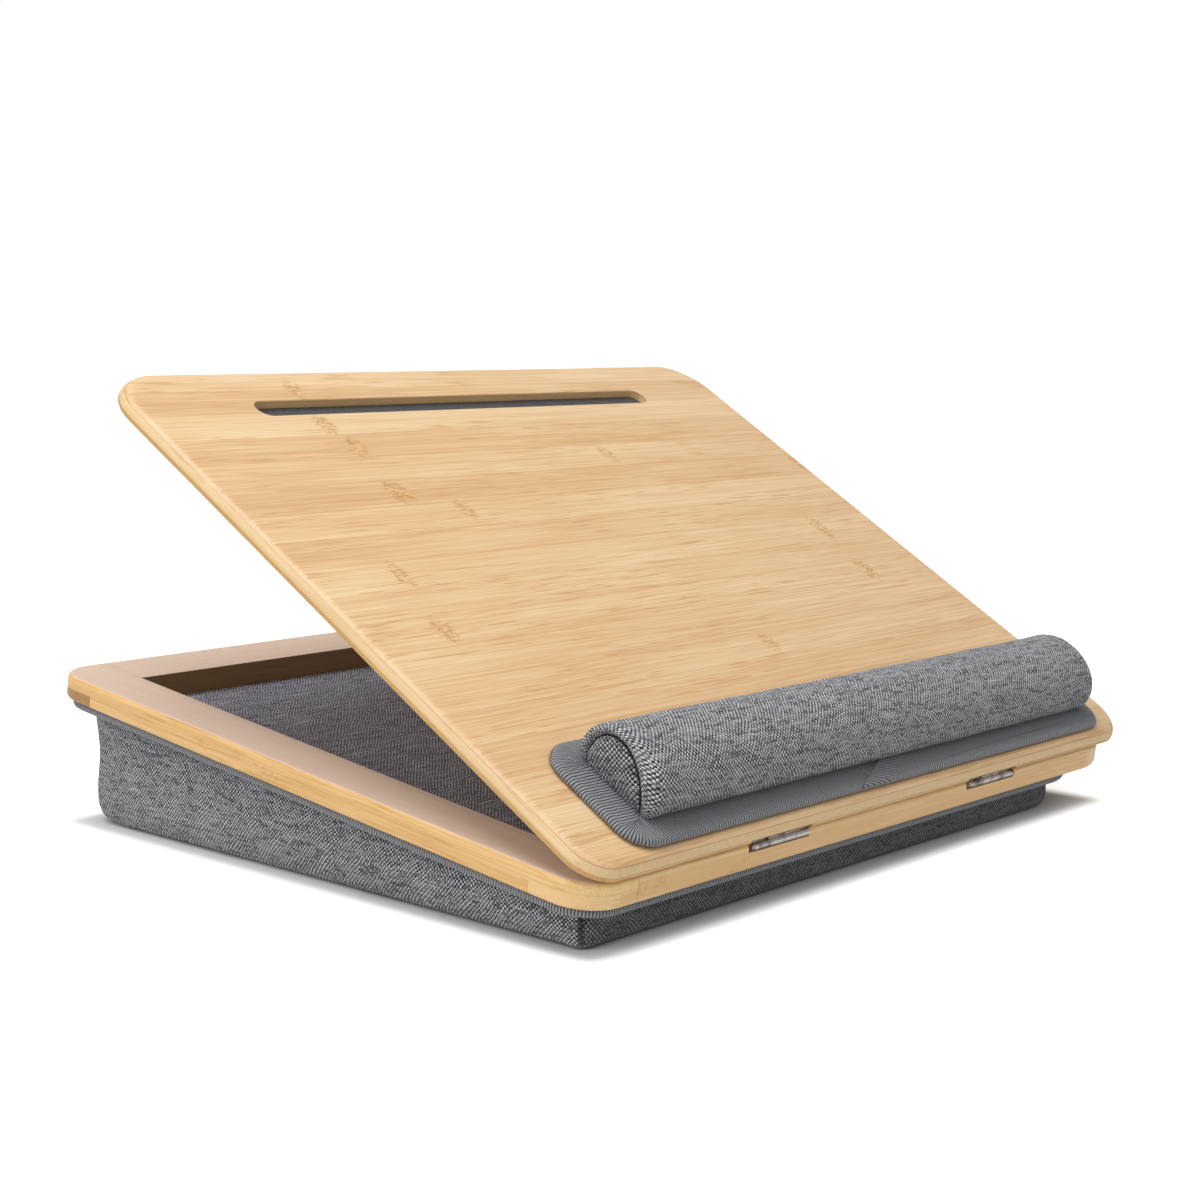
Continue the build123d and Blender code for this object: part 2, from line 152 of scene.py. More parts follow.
# ---- shared effects ----
def makeBambooGroup():                               # laminated bamboo, grain on X, strips side by side on Y
    tree, given, out = startGroup(
        "bambooGrain",
        [("Vector", "Vector", (0, 0, 0)), ("Strip", "Float", 0.021), ("Seed", "Float", 0.0),
         ("Light", "Color", (1, 1, 1, 1)), ("Dark", "Color", (0.5, 0.5, 0.5, 1)), ("Contrast", "Float", 1.0),
         ("Knots", "Float", 0.0), ("End Grain", "Float", 0.0), ("End Color", "Color", (1, 1, 1, 1))],
        [("Color", "Color"), ("Height", "Float"), ("Roughness", "Float")])
    axes = axesOf(tree, given["Vector"])
    along, across, depth = axes[0], axes[1], axes[2]
    stripCount = calc(tree, "DIVIDE", across, given["Strip"])
    stripNumber = plus(tree, calc(tree, "FLOOR", stripCount), given["Seed"])
    chance = put(tree, "ShaderNodeTexWhiteNoise", {"W": stripNumber}, noise_dimensions="1D").outputs["Value"]
    slip = times(tree, chance, 37.0)
    shifted = plus(tree, along, slip)
    parts = (shifted, across, depth)
    streaks = spread(tree, cloud(tree, stretch(tree, parts, (9, 700, 700)), 4.0, 0.7), 0.38, 0.62)
    fibres = spread(tree, cloud(tree, stretch(tree, parts, (26, 1500, 1500)), 2.0), 0.36, 0.64)
    broad = spread(tree, cloud(tree, stretch(tree, parts, (6, 60, 60)), 3.0), 0.34, 0.66)
    busy = spread(tree, cloud(tree, stretch(tree, parts, (9, 70, 70)), 1.0), 0.4, 0.62)
    dashes = spread(tree, cloud(tree, stretch(tree, parts, (34, 820, 820)), 2.0), 0.56, 0.68)
    stepTone = times(tree, chance, 0.3)
    streakTone = times(tree, streaks, 0.27)
    broadTone = times(tree, broad, 0.24)
    fibreTone = times(tree, fibres, 0.22)
    tone = plus(tree, plus(tree, stepTone, streakTone), plus(tree, broadTone, fibreTone))
    tone = plus(tree, tone, times(tree, times(tree, dashes, busy), 0.75))
    inStrip = calc(tree, "FRACT", stripCount)
    toEdge = calc(tree, "MINIMUM", inStrip, minus(tree, 1.0, inStrip))
    edgeGap = times(tree, toEdge, given["Strip"])
    nearEdge = spread(tree, edgeGap, 0.0, 0.0006, 1.0, 0.0)
    seamLine = times(tree, nearEdge, times(tree, chance, 0.5))
    tone = times(tree, plus(tree, tone, seamLine), given["Contrast"])
    base = blendColour(tree, tone, given["Light"], given["Dark"])
    slant = plus(tree, along, times(tree, across, 0.35))
    marks = cloud(tree, stretch(tree, (slant, across, depth), (340, 1150, 1150)), 2.0, 0.6)
    darkMarks = times(tree, spread(tree, marks, 0.48, 0.62), given["Knots"])
    paleMarks = times(tree, spread(tree, marks, 0.47, 0.40), given["Knots"])
    knotted = blendColour(tree, times(tree, given["Knots"], 0.3), base, shade(218, 166, 100))
    knotted = blendColour(tree, times(tree, darkMarks, 0.6), knotted, shade(170, 116, 58))
    knotted = blendColour(tree, times(tree, paleMarks, 0.3), knotted, shade(246, 216, 164))
    pores = spread(tree, cloud(tree, stretch(tree, parts, (40, 1500, 1500)), 1.0), 0.52, 0.68)
    endTone = blendColour(tree, times(tree, pores, 0.14), given["End Color"], shade(150, 104, 58))
    endTone = blendColour(tree, times(tree, tone, 0.45), endTone, given["Dark"])
    colour = blendColour(tree, given["End Grain"], knotted, endTone)
    tree.links.new(colour, out["Color"])
    relief = minus(tree, times(tree, fibres, 0.5), times(tree, dashes, 0.7))
    relief = minus(tree, relief, times(tree, darkMarks, 0.4))
    tree.links.new(relief, out["Height"])
    tree.links.new(plus(tree, 0.33, times(tree, streaks, 0.12)), out["Roughness"])
    return tree


def makeKnotGroup():                                 # soft-edged patch where a cane's node crosses a strip
    tree, given, out = startGroup(
        "bambooKnot",
        [("Vector", "Vector", (0, 0, 0)), ("Centre", "Vector", (0, 0, 0)),
         ("Reach", "Vector", (0.004, 0.01, 0.01)), ("Before", "Float", 0.0)],
        [("Mask", "Float")])
    away = vectorCalc(tree, "SUBTRACT", given["Vector"], given["Centre"])[0]
    length = vectorCalc(tree, "LENGTH", vectorCalc(tree, "DIVIDE", away, given["Reach"])[0])["Value"]
    wires = {"Vector": given["Vector"], "Scale": 260.0, "Detail": 1.0}
    ragged = put(tree, "ShaderNodeTexNoise", wires).outputs["Fac"]
    length = plus(tree, length, times(tree, minus(tree, ragged, 0.5), 0.9))
    patch = spread(tree, length, 0.6, 1.1, 1.0, 0.0)
    tree.links.new(calc(tree, "MAXIMUM", patch, given["Before"]), out["Mask"])
    return tree


def makeWeaveGroup():                                # plain weave of mottled yarns, in metres on X and Y
    tree, given, out = startGroup(
        "heatherWeave",
        [("Vector", "Vector", (0, 0, 0)), ("Yarn", "Float", 0.0009), ("Mottle", "Float", 1.0),
         ("Dark", "Color", (0.1, 0.1, 0.1, 1)), ("Middle", "Color", (0.3, 0.3, 0.3, 1)),
         ("Light", "Color", (0.6, 0.6, 0.6, 1)), ("Slubs", "Float", 0.5)],
        [("Color", "Color"), ("Height", "Float")])
    wires = {"Vector": given["Vector"], "Scale": 70.0, "Detail": 2.0}
    wander = put(tree, "ShaderNodeTexNoise", wires).outputs["Color"]
    drift = vectorCalc(tree, "SUBTRACT", wander, (0.5, 0.5, 0.5))[0]
    nudge = vectorCalc(tree, "MULTIPLY", drift, (0.003, 0.003, 0.003))[0]
    laid = vectorCalc(tree, "ADD", given["Vector"], nudge)[0]
    axes = axesOf(tree, laid)
    acrossWarp = calc(tree, "DIVIDE", axes[0], given["Yarn"])
    acrossWeft = calc(tree, "DIVIDE", axes[1], given["Yarn"])
    warp, weft = calc(tree, "FLOOR", acrossWarp), calc(tree, "FLOOR", acrossWeft)
    over = calc(tree, "FLOORED_MODULO", plus(tree, warp, weft), 2.0)
    warpTone = cloud(tree, stretch(tree, (warp, acrossWeft, acrossWeft), (5.3, 0.5, 0.0)), 1.0)
    weftTone = cloud(tree, stretch(tree, (acrossWarp, weft, weft), (0.12, 5.3, 3.1)), 1.0)
    warpTone = spread(tree, warpTone, 0.3, 0.7, 0.58, 1.0)
    weftTone = spread(tree, weftTone, 0.3, 0.7, 0.0, 0.5)
    tone = put(tree, "ShaderNodeMix", {0: over, 2: weftTone, 3: warpTone}, data_type="FLOAT").outputs[0]
    slub = cloud(tree, stretch(tree, (acrossWarp, weft, weft), (0.03, 1.7, 0.9)), 1.0)
    slub = times(tree, spread(tree, slub, 0.66, 0.76), given["Slubs"])
    rows = cloud(tree, stretch(tree, axes, (60, 620, 620)), 2.0, 0.6)
    tone = plus(tree, tone, times(tree, minus(tree, rows, 0.5), 0.75))
    tone = plus(tree, tone, slub)
    spreadTone = times(tree, minus(tree, tone, 0.5), given["Mottle"])
    tone = plus(tree, spreadTone, 0.5)
    low = blendColour(tree, spread(tree, tone, 0.0, 0.5), given["Dark"], given["Middle"])
    mixed = blendColour(tree, spread(tree, tone, 0.5, 1.0), low, given["Light"])
    humpWarp = calc(tree, "SINE", times(tree, calc(tree, "FRACT", acrossWarp), math.pi))
    humpWeft = calc(tree, "SINE", times(tree, calc(tree, "FRACT", acrossWeft), math.pi))
    hump = put(tree, "ShaderNodeMix", {0: over, 2: humpWeft, 3: humpWarp}, data_type="FLOAT").outputs[0]
    cross = put(tree, "ShaderNodeMix", {0: over, 2: humpWarp, 3: humpWeft}, data_type="FLOAT").outputs[0]
    height = times(tree, hump, plus(tree, 0.55, times(tree, cross, 0.45)))
    gaps = spread(tree, height, 0.0, 0.45, 0.34, 1.0)
    shaded = put(tree, "ShaderNodeCombineColor", {0: gaps, 1: gaps, 2: gaps}).outputs[0]
    tree.links.new(blendColour(tree, 1.0, mixed, shaded, "MULTIPLY"), out["Color"])
    tree.links.new(height, out["Height"])
    return tree


def makeRibGroup():                                  # corded tape, ribs across its length, laid out in metres
    tree, given, out = startGroup(
        "tapeRibs",
        [("Vector", "Vector", (0, 0, 0)), ("Rib", "Float", 0.0013), ("Dark", "Color", (0.1, 0.1, 0.1, 1)),
         ("Light", "Color", (0.5, 0.5, 0.5, 1))],
        [("Color", "Color"), ("Height", "Float")])
    axes = axesOf(tree, given["Vector"])
    wobble = cloud(tree, stretch(tree, axes, (260, 260, 0)), 1.0)
    evenly = calc(tree, "DIVIDE", axes[0], given["Rib"])
    ribCount = plus(tree, evenly, times(tree, wobble, 0.5))
    ridge = calc(tree, "ABSOLUTE", calc(tree, "SINE", times(tree, ribCount, math.pi)))
    threads = cloud(tree, stretch(tree, (ribCount, axes[1], axes[2]), (0.6, 2600, 0)), 1.0)
    # painted shade: darker in the grooves between the ribs, lighter on their crests
    tone = times(tree, spread(tree, ridge, 0.15, 0.9), plus(tree, 0.55, threads))
    tree.links.new(blendColour(tree, tone, given["Dark"], given["Light"]), out["Color"])
    tree.links.new(plus(tree, ridge, times(tree, threads, 0.3)), out["Height"])
    return tree


bambooGrain = makeBambooGroup()
bambooKnot = makeKnotGroup()
heatherWeave = makeWeaveGroup()
tapeRibs = makeRibGroup()
print("shared effects ready")


# ---- materials ----
def startMaterial(name):
    material = bpy.data.materials.new(name)
    material.use_nodes = True
    tree = material.node_tree
    surface = tree.nodes["Principled BSDF"]
    return material, tree, surface


def raiseBump(tree, surface, height, distance, strength=1.0):
    bump = put(tree, "ShaderNodeBump", {"Height": height, "Distance": distance, "Strength": strength})
    tree.links.new(bump.outputs["Normal"], surface.inputs["Normal"])


def grainVector(tree, place, turn=0.0):              # object coordinates laid along a piece's own grain
    intoGrain = Matrix.Rotation(turn, 4, "Z") @ place.inverted()
    coords = put(tree, "ShaderNodeTexCoord").outputs
    wires = {0: coords["Object"], 1: intoGrain.translation, 2: intoGrain.to_euler()}
    vector = put(tree, "ShaderNodeMapping", wires).outputs[0]
    wires = {0: coords["Normal"], 2: intoGrain.to_euler()}
    facing = put(tree, "ShaderNodeMapping", wires, vector_type="VECTOR").outputs[0]
    return vector, axesOf(tree, facing)


def bambooMaterial(name, place, light, dark, turn=0.0, strip=21.0, seed=0.0, contrast=1.0, knots=(),
                   topReflectColour=None, endColour=None, paintedWallShade=0.0, seams=(), knotShare=1.0):
    material, tree, surface = startMaterial(name)
    vector, facing = grainVector(tree, place, turn)
    mask = 0.0
    for centre, reach in knots:
        wires = {"Vector": vector, "Centre": [c * mm for c in centre], "Reach": [r * mm for r in reach]}
        mask = useGroup(tree, bambooKnot, {**wires, "Before": mask})["Mask"]
    mask = times(tree, mask, knotShare)
    endGrain = spread(tree, calc(tree, "ABSOLUTE", facing[0]), 0.2, 0.7)
    wires = {"Vector": vector, "Strip": strip * mm, "Seed": seed, "Light": light, "Dark": dark,
             "Contrast": contrast, "Knots": mask, "End Grain": endGrain, "End Color": endColour or light}
    grain = useGroup(tree, bambooGrain, wires)
    colour = grain["Color"]
    if topReflectColour:                                    # upper face: painted pale reflection of the bright surroundings, partly also the canes' wall cut across
        upwardReflection = spread(tree, facing[2], 0.75, 0.97, 0.0, 0.72)
        colour = blendColour(tree, upwardReflection, colour, topReflectColour)
    axes = axesOf(tree, vector)
    for axis, spot, width, depth in seams:           # dark glue lines where the next piece meets this one
        gap = calc(tree, "ABSOLUTE", minus(tree, axes[axis], spot * mm))
        line = spread(tree, gap, 0.0, width * mm, depth, 0.0)
        colour = blendColour(tree, line, colour, shade(120, 82, 46))
    if paintedWallShade:                                   # painted shade on a wall that faces the tray, where the lid shadows it
        inner = spread(tree, facing[1], -0.75, -0.95, 0.0, paintedWallShade)
        colour = blendColour(tree, inner, colour, shade(70, 44, 22))
    wire(tree, surface, {"Base Color": colour, "Roughness": grain["Roughness"], "Coat Weight": 0.1,
                         "Coat Roughness": 0.3})
    raiseBump(tree, surface, grain["Height"], 0.00008, 0.3)
    return material


# near-black colour of the painted shade on the cushion cloth
paintedShadeDark = shade(16, 16, 18)


def clothMaterial(name, look):
    material, tree, surface = startMaterial(name)
    vector = put(tree, "ShaderNodeUVMap", uv_map="weave").outputs["UV"]
    turned = put(tree, "ShaderNodeMapping", {0: vector, 2: (0, 0, look["bias"])}).outputs[0]
    wires = {"Vector": turned, "Yarn": look["yarn"] * mm, "Mottle": look["mottle"], "Dark": look["dark"],
             "Middle": look["middle"], "Light": look["light"], "Slubs": look["slubs"]}
    weave = useGroup(tree, heatherWeave, wires)
    colour = weave["Color"]
    if "crease" in look:                             # painted shade in an upright fold, dark in its bottom
        x, y, reach = look["crease"]
        spot = objectSpot(tree)
        flat = vectorCalc(tree, "MULTIPLY", spot, (1, 1, 0))[0]
        away = vectorCalc(tree, "DISTANCE", flat, (x * mm, y * mm, 0))["Value"]
        creaseShadeMask = spread(tree, away, 0.2 * reach * mm, reach * mm, 0.85, 0.0)
        colour = blendColour(tree, creaseShadeMask, colour, paintedShadeDark)
    if "shaded" in look:                             # the low front face hardly sees the light
        facing = axesOf(tree, put(tree, "ShaderNodeTexCoord").outputs["Normal"])
        forward = spread(tree, facing[1], -0.5, -0.9, 0.0, look["shaded"])
        colour = blendColour(tree, forward, colour, paintedShadeDark)
    wire(tree, surface, {"Base Color": colour, "Roughness": 0.9, "Specular IOR Level": 0.25,
                         "Sheen Weight": 0.2, "Sheen Roughness": 0.5})
    raiseBump(tree, surface, weave["Height"], look["yarn"] * mm * 0.5)
    return material


def tapeMaterial(name, dark, light, rib):
    material, tree, surface = startMaterial(name)
    vector = put(tree, "ShaderNodeUVMap", uv_map="weave").outputs["UV"]
    ribs = useGroup(tree, tapeRibs, {"Vector": vector, "Rib": rib * mm, "Dark": dark, "Light": light})
    wire(tree, surface, {"Base Color": ribs["Color"], "Roughness": 0.75, "Sheen Weight": 0.15})
    raiseBump(tree, surface, ribs["Height"], 0.0003)
    return material


def steelMaterial(name):
    material, tree, surface = startMaterial(name)
    axes = axesOf(tree, objectSpot(tree))
    brushed = cloud(tree, stretch(tree, axes, (60, 2400, 2400)), 3.0)
    smudges = cloud(tree, stretch(tree, axes, (180, 180, 180)), 3.0)
    worn = spread(tree, smudges, 0.45, 0.7)
    colour = blendColour(tree, worn, shade(206, 201, 196), shade(124, 116, 108))
    rough = plus(tree, 0.14, times(tree, brushed, 0.2))
    wire(tree, surface, {"Base Color": colour, "Metallic": 1.0, "Roughness": rough})
    raiseBump(tree, surface, brushed, 0.00004, 0.5)
    return material


def boardMaterial(name, base, fleck, grainSize, rough):
    material, tree, surface = startMaterial(name)
    axes = axesOf(tree, objectSpot(tree))
    specks = spread(tree, cloud(tree, stretch(tree, axes, (grainSize,) * 3), 4.0, 0.65), 0.35, 0.65)
    wire(tree, surface, {"Base Color": blendColour(tree, specks, base, fleck), "Roughness": rough})
    raiseBump(tree, surface, specks, 0.0001, 0.5)
    return material


def dress(node, material):
    nodes[node].data.materials.clear()
    nodes[node].data.materials.append(material)


faceLight, faceDark = shade(242, 213, 169), shade(209, 163, 112)
sideLight, sideDark = shade(246, 212, 150), shade(210, 160, 92)
# pale painted reflection laid on the rails' upward faces
railTopReflection = shade(224, 203, 193)
# knots are given by their centre and their reach, in millimetres; seams by axis, spot, width and depth
lidKnots = [((-111.8, 349, 7), (6, 11, 9)), ((-115.6, 317, 7), (7, 11, 9)), ((-111.5, 297, 7), (7, 11, 9)),
            ((-114, 258, 7), (9, 11, 9)), ((-84, 239, 7), (5, 10, 9)), ((-164, 196, 7), (6, 11, 9)),
            ((-171, 155, 7), (6, 11, 9)), ((163, 197, 7), (6, 11.5, 9)), ((159, 156, 7), (7, 11.5, 9)),
            ((214, 260, 7), (6, 12, 9)), ((60, 278, 7), (5, 10, 9)), ((20, 113, 7), (5, 10, 9))]
coreFoot, coreTop = 2.85, 6.05                       # heights of the middle ply's two faces on the lid
plyStyle = {
    "lid_top_ply": dict(light=faceLight, dark=faceDark, seed=3.0, strip=20.55, knots=lidKnots,
                        endColour=shade(204, 168, 122), seams=[(2, coreTop, 0.3, 0.5)]),
    "lid_core_ply": dict(light=shade(228, 200, 154), dark=shade(202, 164, 110), turn=math.pi / 2, seed=11.0,
                         contrast=0.9, endColour=shade(232, 200, 150), seams=[(2, coreTop, 0.2, 0.3)]),
    "lid_bottom_ply": dict(light=shade(226, 188, 124), dark=shade(190, 142, 80), seed=23.0,
                           endColour=shade(204, 162, 98), seams=[(2, coreFoot, 0.2, 0.3)],
                           knots=[((-60, 300, 0), (4, 10, 6)), ((90, 180, 0), (4, 10, 6)),
                                  ((-150, 90, 0), (4, 10, 6)), ((150, 250, 0), (4, 9, 6)),
                                  ((10, 60, 0), (4, 9, 6))]),
}
for node, style in plyStyle.items():
    dress(node, bambooMaterial(node + "_bamboo", lidPlace, **style))

sideRail = 30.0
jointX = halfDesk / mm - sideRail                    # where the end rails' tops butt against the side rails
lapSeams = [(0, -jointX, 0.5, 0.4), (0, jointX, 0.5, 0.4)]
sideSeam = [(2, -5.2, 0.4, 0.18)]
railLook = {"light": sideLight, "dark": sideDark, "topReflectColour": railTopReflection, "knotShare": 0.55}
railStyle = {
    "rail_left": dict(turn=-math.pi / 2, seed=5.0, strip=15.0, seams=sideSeam,
                      knots=[((170, 214, 0), (6, 5, 3)), ((199, 220, -5.5), (7, 3, 3)),
                             ((186, 220, -7), (5, 3, 2.5)), ((212, 220, -5), (5, 3, 2.5)),
                             ((237, 220, -6), (5, 3, 3)), ((60, 204, 0), (5, 6, 3))]),
    "rail_right": dict(turn=-math.pi / 2, seed=9.0, strip=15.0, seams=sideSeam,
                       knots=[((120, -205, 0), (5, 6, 4))]),
    # the front rail's colours are a lighter copy of the other rails': painted light, so its front face reads
    # as brightly lit
    "rail_front": dict(light=shade(255, 230, 176), dark=shade(228, 184, 124), seed=14.0, strip=16.0,
                       seams=lapSeams, endColour=shade(236, 198, 140),
                       knots=[((-188, 0, -6), (5, 3, 3)), ((-176, 0, -5), (5, 3, 3)),
                              ((-125, 0, -9), (5, 3, 2.5)), ((-118, 0, -6.4), (4, 3, 2.5)),
                              ((60, 18, 0), (4, 6, 4))]),
    # the back rail's wall facing the tray carries painted shade
    "rail_back": dict(seed=19.0, strip=16.0, seams=lapSeams, endColour=shade(158, 112, 66), paintedWallShade=0.68,
                      knots=[((120, 340, 0), (4, 7, 4))]),
}
for node, style in railStyle.items():
    dress(node, bambooMaterial(node + "_bamboo", deskPlace, **{**railLook, **style}))

heatherLook = dict(yarn=1.04, mottle=1.4, dark=shade(36, 37, 40), middle=shade(116, 117, 121),
                   light=shade(216, 217, 222), slubs=0.12, bias=0.0)
foldPlace = deskPlace @ Vector((-207.6 * mm, 12.4 * mm, -20 * mm)) / mm    # the cushion's front left corner
# cushion cloth with painted shade in its corner fold and on its low front face
paintedShadeLook = {**heatherLook, "middle": shade(106, 107, 111), "light": shade(210, 211, 216),
              "crease": (foldPlace.x, foldPlace.y, 3.0), "shaded": 0.5}
coarseLook = {**heatherLook, "yarn": 1.15, "bias": 0.6, "dark": shade(28, 29, 31),
              "middle": shade(86, 87, 90), "light": shade(196, 197, 200)}
liningLook = {**heatherLook, "dark": shade(40, 40, 50), "middle": shade(113, 119, 143),
              "light": shade(214, 214, 230), "yarn": 1.0, "slubs": 0.6}
heather = clothMaterial("heather_cloth", heatherLook)
heatherShadedCloth = clothMaterial("heather_cloth_painted_shade", paintedShadeLook)
seamShadow = boardMaterial("seam_shadow", shade(34, 34, 36), shade(24, 24, 26), 900, 0.95)
heatherCoarse = clothMaterial("heather_end_cloth", coarseLook)
lining = clothMaterial("lining_cloth", liningLook)
ribbedTape = tapeMaterial("ribbed_tape", shade(18, 19, 21), shade(140, 142, 147), 1.6)
fineTape = tapeMaterial("fine_ribbed_tape", shade(24, 25, 27), shade(146, 148, 152), 1.4)
steel = steelMaterial("hinge_steel")
hardboard = boardMaterial("hardboard_brown", shade(120, 88, 60), shade(92, 66, 44), 900, 0.8)
backing = boardMaterial("slot_backing_grey", shade(84, 84, 86), shade(66, 66, 68), 700, 0.6)
filling = boardMaterial("fibre_filling", shade(238, 236, 230), shade(214, 212, 206), 260, 0.95)
adhesive = boardMaterial("adhesive_strip", shade(226, 222, 208), shade(206, 200, 184), 400, 0.5)
stitchThread = boardMaterial("stitch_thread", shade(86, 87, 91), shade(60, 61, 64), 2200, 0.7)

plainFinish = {
    steel: ["hinge_1_base_leaf", "hinge_1_lid_leaf", "hinge_1_pin", "hinge_2_base_leaf", "hinge_2_lid_leaf",
            "hinge_2_pin", "base_leaf_screws", "lid_leaf_screws"],
    hardboard: ["floor_board", "wrist_base"],
    backing: ["slot_backing"],
    filling: ["cushion_core", "wrist_core"],
    adhesive: ["wrist_adhesive_strips"],
}
for material, names in plainFinish.items():
    for node in names:
        dress(node, material)
print("materials on the packed nodes")


# ---- mesh helpers ----
def gridPiece(columns, rows):                        # a flat grid whose vertices are then placed one by one
    bm = bmesh.new()
    bmesh.ops.create_grid(bm, x_segments=columns - 1, y_segments=rows - 1, size=1.0)
    verts = sorted(bm.verts, key=lambda v: (round(v.co.y, 5), round(v.co.x, 5)))
    return bm, [verts[r * columns:(r + 1) * columns] for r in range(rows)]


def placeGrid(bm, grid, spotOf, laidOf, slotOf=None):    # moves the vertices and writes the weave's layout
    layer = bm.loops.layers.uv.new("weave")
    rowOf, layout = {}, {}
    for r, row in enumerate(grid):
        for c, vert in enumerate(row):
            vert.co = spotOf(r, c)
            layout[vert] = Vector(laidOf(r, c)) * mm
            rowOf[vert] = r
    for face in bm.faces:
        if slotOf:
            face.material_index = slotOf(min(rowOf[v] for v in face.verts))
        for loop in face.loops:
            loop[layer].uv = layout[loop.vert]


def addObject(name, data):
    made = bpy.data.objects.new(name, data)
    bpy.context.scene.collection.objects.link(made)
    return made


def finishPiece(name, bm, place, materials, weld=0.00002):
    bmesh.ops.remove_doubles(bm, verts=bm.verts, dist=weld)
    bmesh.ops.dissolve_degenerate(bm, edges=bm.edges, dist=weld / 2)
    bmesh.ops.transform(bm, matrix=place, verts=bm.verts)
    bmesh.ops.recalc_face_normals(bm, faces=bm.faces)
    mesh = bpy.data.meshes.new(name)
    bm.to_mesh(mesh)
    bm.free()
    for material in materials:
        mesh.materials.append(material)
    mesh.polygons.foreach_set("use_smooth", [True] * len(mesh.polygons))
    return addObject(name, mesh)


def applyModifiers(piece):
    graph = bpy.context.evaluated_depsgraph_get()
    made = bpy.data.meshes.new_from_object(piece.evaluated_get(graph), depsgraph=graph)
    old = piece.data
    name = old.name
    piece.modifiers.clear()
    piece.data = made
    bpy.data.meshes.remove(old)
    made.name = name


def subdivide(piece):
    smooth = piece.modifiers.new("round", "SUBSURF")
    smooth.levels = smooth.render_levels = 1
    applyModifiers(piece)


def ruffle(piece, shiftOf):                          # moves each vertex by shiftOf(place, normal)
    verts = piece.data.vertices
    before = [(v.co.copy(), v.normal.copy()) for v in verts]
    spots = [co + shiftOf(co, normal) for co, normal in before]
    verts.foreach_set("co", [n for spot in spots for n in spot])
    piece.data.update()


def inflate(piece, held, air, cap):                  # air pressure on the cover, held where it is sewn down
    scene = bpy.context.scene
    lastFrame = 20
    start = [v.co.copy() for v in piece.data.vertices]
    group = piece.vertex_groups.new(name="sewn")
    for index, weight in held.items():
        group.add([index], weight, "REPLACE")
    cloth = piece.modifiers.new("air", "CLOTH")
    cloth.settings.quality = 6
    cloth.settings.mass = 0.25
    cloth.settings.tension_stiffness = cloth.settings.compression_stiffness = 18
    cloth.settings.bending_stiffness = 0.4
    cloth.settings.use_pressure = True
    cloth.settings.uniform_pressure_force = air
    cloth.settings.effector_weights.gravity = 0.0
    cloth.settings.vertex_group_mass = "sewn"
    cloth.collision_settings.use_collision = False
    cloth.point_cache.frame_start, cloth.point_cache.frame_end = 1, lastFrame
    for step in range(1, lastFrame + 1):
        scene.frame_set(step)
    graph = bpy.context.evaluated_depsgraph_get()
    moved = piece.evaluated_get(graph).data.vertices
    spots = []
    for before, vert in zip(start, moved):
        shift = vert.co - before
        if shift.length > cap:
            shift *= cap / shift.length
        spots.append(before + shift)
    piece.modifiers.clear()
    piece.vertex_groups.clear()
    for vert, spot in zip(piece.data.vertices, spots):
        vert.co = spot
    scene.frame_set(1)
    print("inflated", piece.name)


# ---- rounded outlines, in millimetres: left, right, front, back ----
class Outline:
    def __init__(self, bounds, corners):             # corners: front right, back right, back left, front left
        self.left, self.right, self.front, self.back = bounds
        spots = ((self.right, self.front, -1, 1), (self.right, self.back, -1, -1),
                 (self.left, self.back, 1, -1), (self.left, self.front, 1, 1))
        self.corners = []
        for (x, y, sx, sy), radius in zip(spots, corners):
            centre = Vector((x + sx * radius, y + sy * radius))
            self.corners.append((centre, radius, Vector((sx, sy))))

    def cornerAt(self, point):
        for centre, radius, inward in self.corners:
            off = point - centre
            if off.x * inward.x < 0 and off.y * inward.y < 0:
                return centre, radius, off
        return None

    def roundOff(self, point):                       # a plain rectangle's point moved into the rounded one
        corner = self.cornerAt(point)
        if not corner:
            return point
        centre, radius, off = corner
        return centre + off.normalized() * max(abs(off.x), abs(off.y))

    def gap(self, point):                            # distance in from the outline, and the way out
        corner = self.cornerAt(point)
        if corner:
            centre, radius, off = corner
            return radius - off.length, off.normalized()
        sides = ((point.x - self.left, (-1, 0)), (self.right - point.x, (1, 0)),
                 (point.y - self.front, (0, -1)), (self.back - point.y, (0, 1)))
        distance, outward = min(sides)
        return distance, Vector(outward)

    def stations(self, step, start):                 # round the outline from the front edge, anticlockwise
        made = []
        home = Vector((start, self.front))
        here, travelled, angle = home, 0.0, -math.pi / 2
        for centre, radius, inward in self.corners:
            outward = Vector((math.cos(angle), math.sin(angle)))
            entry = centre + radius * outward
            run = (entry - here).length
            count = max(1, round(run / step))
            for i in range(count):
                made.append((here.lerp(entry, i / count), outward, travelled + run * i / count, None))
            travelled += run
            bends = max(8, round(radius * 2.2 / step))
            for i in range(bends):
                turn = angle + math.pi / 2 * i / bends
                outward = Vector((math.cos(turn), math.sin(turn)))
                along = travelled + radius * math.pi / 2 * i / bends
                made.append((centre + radius * outward, outward, along, (centre, radius, inward)))
            travelled += radius * math.pi / 2
            angle += math.pi / 2
            here = centre + radius * Vector((math.cos(angle), math.sin(angle)))
        run = (home - here).length
        count = max(1, round(run / step))
        for i in range(count + 1):
            made.append((here.lerp(home, i / count), Vector((0, -1)), travelled + run * i / count, None))
        return made

    def inward(self, station, inset):                # station moved in, mitred where the corner is too tight
        point, outward, travelled, corner = station
        if corner and inset > corner[1]:
            return corner[0] + corner[2] * (inset - corner[1])
        spot = point - outward * inset
        x = min(max(spot.x, self.left + min(inset, self.right)), self.right - inset)
        y = min(max(spot.y, self.front + inset), self.back - inset)
        return Vector((x, y))


def runOf(profile):                                  # running length along a profile of (inset, height)
    total, lengths = 0.0, [0.0]
    for first, second in zip(profile, profile[1:]):
        total += (Vector(second) - Vector(first)).length
        lengths.append(total)
    return lengths


